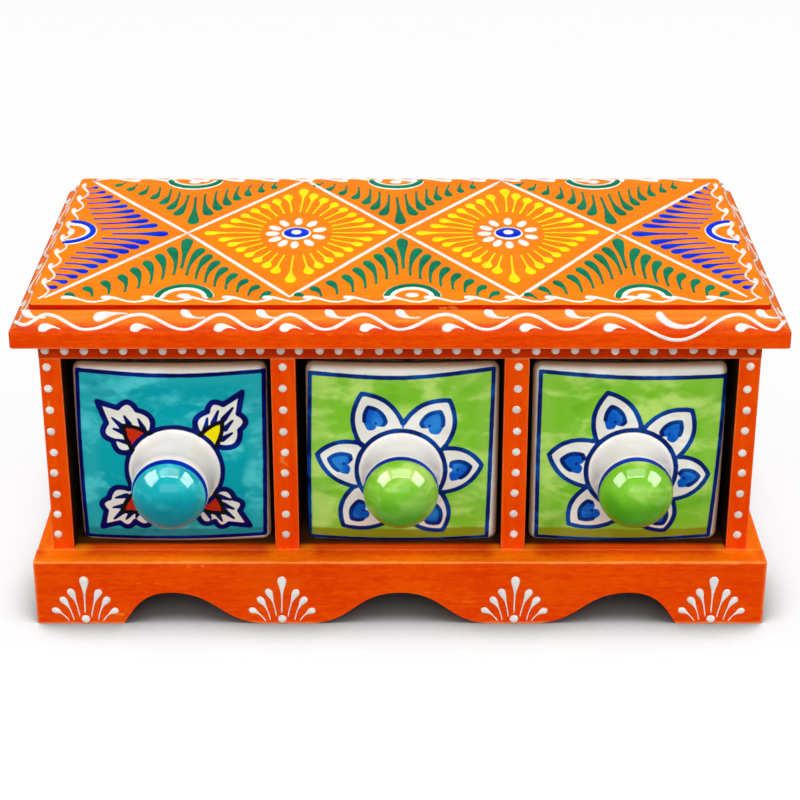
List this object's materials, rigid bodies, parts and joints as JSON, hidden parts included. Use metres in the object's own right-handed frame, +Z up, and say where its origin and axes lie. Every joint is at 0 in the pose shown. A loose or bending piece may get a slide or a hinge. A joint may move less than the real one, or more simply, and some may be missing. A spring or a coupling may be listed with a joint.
{
  "type": "wooden drawer box",
  "caption": "Low painted wooden box with a moulded lid, an arched plinth and glazed ceramic drawers side by side, each pulled by a ball knob.",
  "frame": {"origin": "on the floor, in the middle of the whole box taken with its knobs", "axes": "+Z up; the drawer fronts face -Y; +X to the right seen from the front"},
  "size_m": [0.24, 0.1466, 0.1093],
  "materials": {
    "lid_paint": "hand-painted orange with fine brush streaks, satin",
    "case_paint": "hand-painted red-orange, satin; bare wood inside the bays",
    "brad_steel": "plain bright steel",
    "glaze_turquoise": "glossy brushed glaze over white ceramic",
    "glaze_green": "glossy brushed glaze over white ceramic"
  },
  "bodies": {
    "case": {"lid_board": "lid_paint", "top_board": "case_paint", "side_panel_left": "case_paint", "side_panel_right": "case_paint", "divider_left": "case_paint", "divider_right": "case_paint", "back_panel": "case_paint", "base_board": "case_paint", "apron_front": "case_paint", "apron_rear": "case_paint", "apron_left": "case_paint", "apron_right": "case_paint", "top_brads": "brad_steel", "lid_brads": "brad_steel", "base_brads": "brad_steel", "back_brads": "brad_steel", "apron_brads": "brad_steel"},
    "left_drawer": {"drawer_left": "glaze_turquoise", "knob_left": "glaze_turquoise"},
    "middle_drawer": {"drawer_middle": "glaze_green", "knob_middle": "glaze_green"},
    "right_drawer": {"drawer_right": "glaze_green", "knob_right": "glaze_green"}
  },
  "joints": [
    {"name": "left_drawer_slide", "type": "slide", "parent": "case", "child": "left_drawer", "axis": [0, -1, 0], "range_m": [0, 0.09]},
    {"name": "middle_drawer_slide", "type": "slide", "parent": "case", "child": "middle_drawer", "axis": [0, -1, 0], "range_m": [0, 0.09]},
    {"name": "right_drawer_slide", "type": "slide", "parent": "case", "child": "right_drawer", "axis": [0, -1, 0], "range_m": [0, 0.09]}
  ]
}
